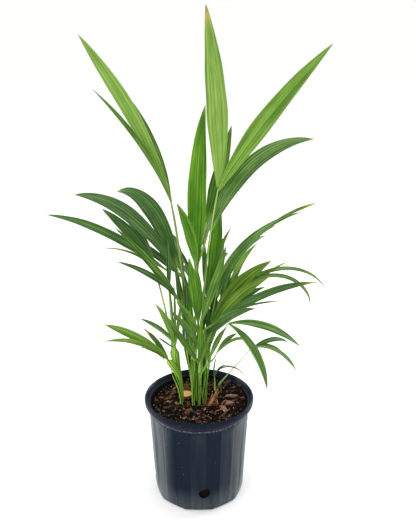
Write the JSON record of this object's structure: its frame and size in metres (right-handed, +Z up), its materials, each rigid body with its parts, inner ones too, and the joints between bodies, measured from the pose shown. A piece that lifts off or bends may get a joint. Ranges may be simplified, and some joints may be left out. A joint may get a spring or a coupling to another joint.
{
  "type": "potted lipstick palm",
  "caption": "Young clumping palm with slender upright shoots and long pleated leaflets, in a ribbed round nursery pot filled with bark potting mix.",
  "frame": {"origin": "middle of the pot's flat underside", "axes": "+Z up along the pot's axis, +X to the right and -Y towards the viewer in the picture"},
  "size_m": [0.6054, 0.4396, 1.1295],
  "materials": {
    "pot_plastic": "satin",
    "potting_mix": "rough",
    "cut_stem": "matte",
    "dry_stem": "matte",
    "stem_green": "satin",
    "leaf_green": "satin"
  },
  "bodies": {
    "root": {"pot": "pot_plastic", "potting_mix": "potting_mix", "cut_stub": "cut_stem", "dry_stalk": "dry_stem", "shoot_far_left": "stem_green", "shoot_left": "stem_green", "shoot_left_tall": "stem_green", "shoot_front": "stem_green", "shoot_front_low": "stem_green", "shoot_middle": "stem_green", "shoot_right": "stem_green", "shoot_right_low": "stem_green", "shoot_far_right": "stem_green", "shoot_wisp": "stem_green", "shoot_back": "stem_green", "shoot_back_right": "stem_green", "frond_crown": "leaf_green", "frond_crown_back": "leaf_green", "frond_broad": "leaf_green", "frond_inner": "leaf_green", "frond_tall_left": "leaf_green", "frond_left_arch": "leaf_green", "frond_left_front": "leaf_green", "frond_left_reach": "leaf_green", "frond_left_fan": "leaf_green", "frond_spear": "leaf_green", "frond_young": "leaf_green", "frond_front_low": "leaf_green", "frond_front_spear": "leaf_green", "frond_right_long": "leaf_green", "frond_right_mid": "leaf_green", "frond_right_front": "leaf_green", "frond_right_broad": "leaf_green", "frond_right_low": "leaf_green", "frond_right_weeping": "leaf_green", "frond_right_small": "leaf_green", "frond_right_thin": "leaf_green", "frond_far_right": "leaf_green", "frond_wisp": "leaf_green", "frond_low_left": "leaf_green", "frond_low_left_back": "leaf_green", "frond_left_inner": "leaf_green", "frond_back_left": "leaf_green", "frond_back": "leaf_green", "frond_back_low": "leaf_green", "frond_back_right": "leaf_green"}
  },
  "joints": []
}
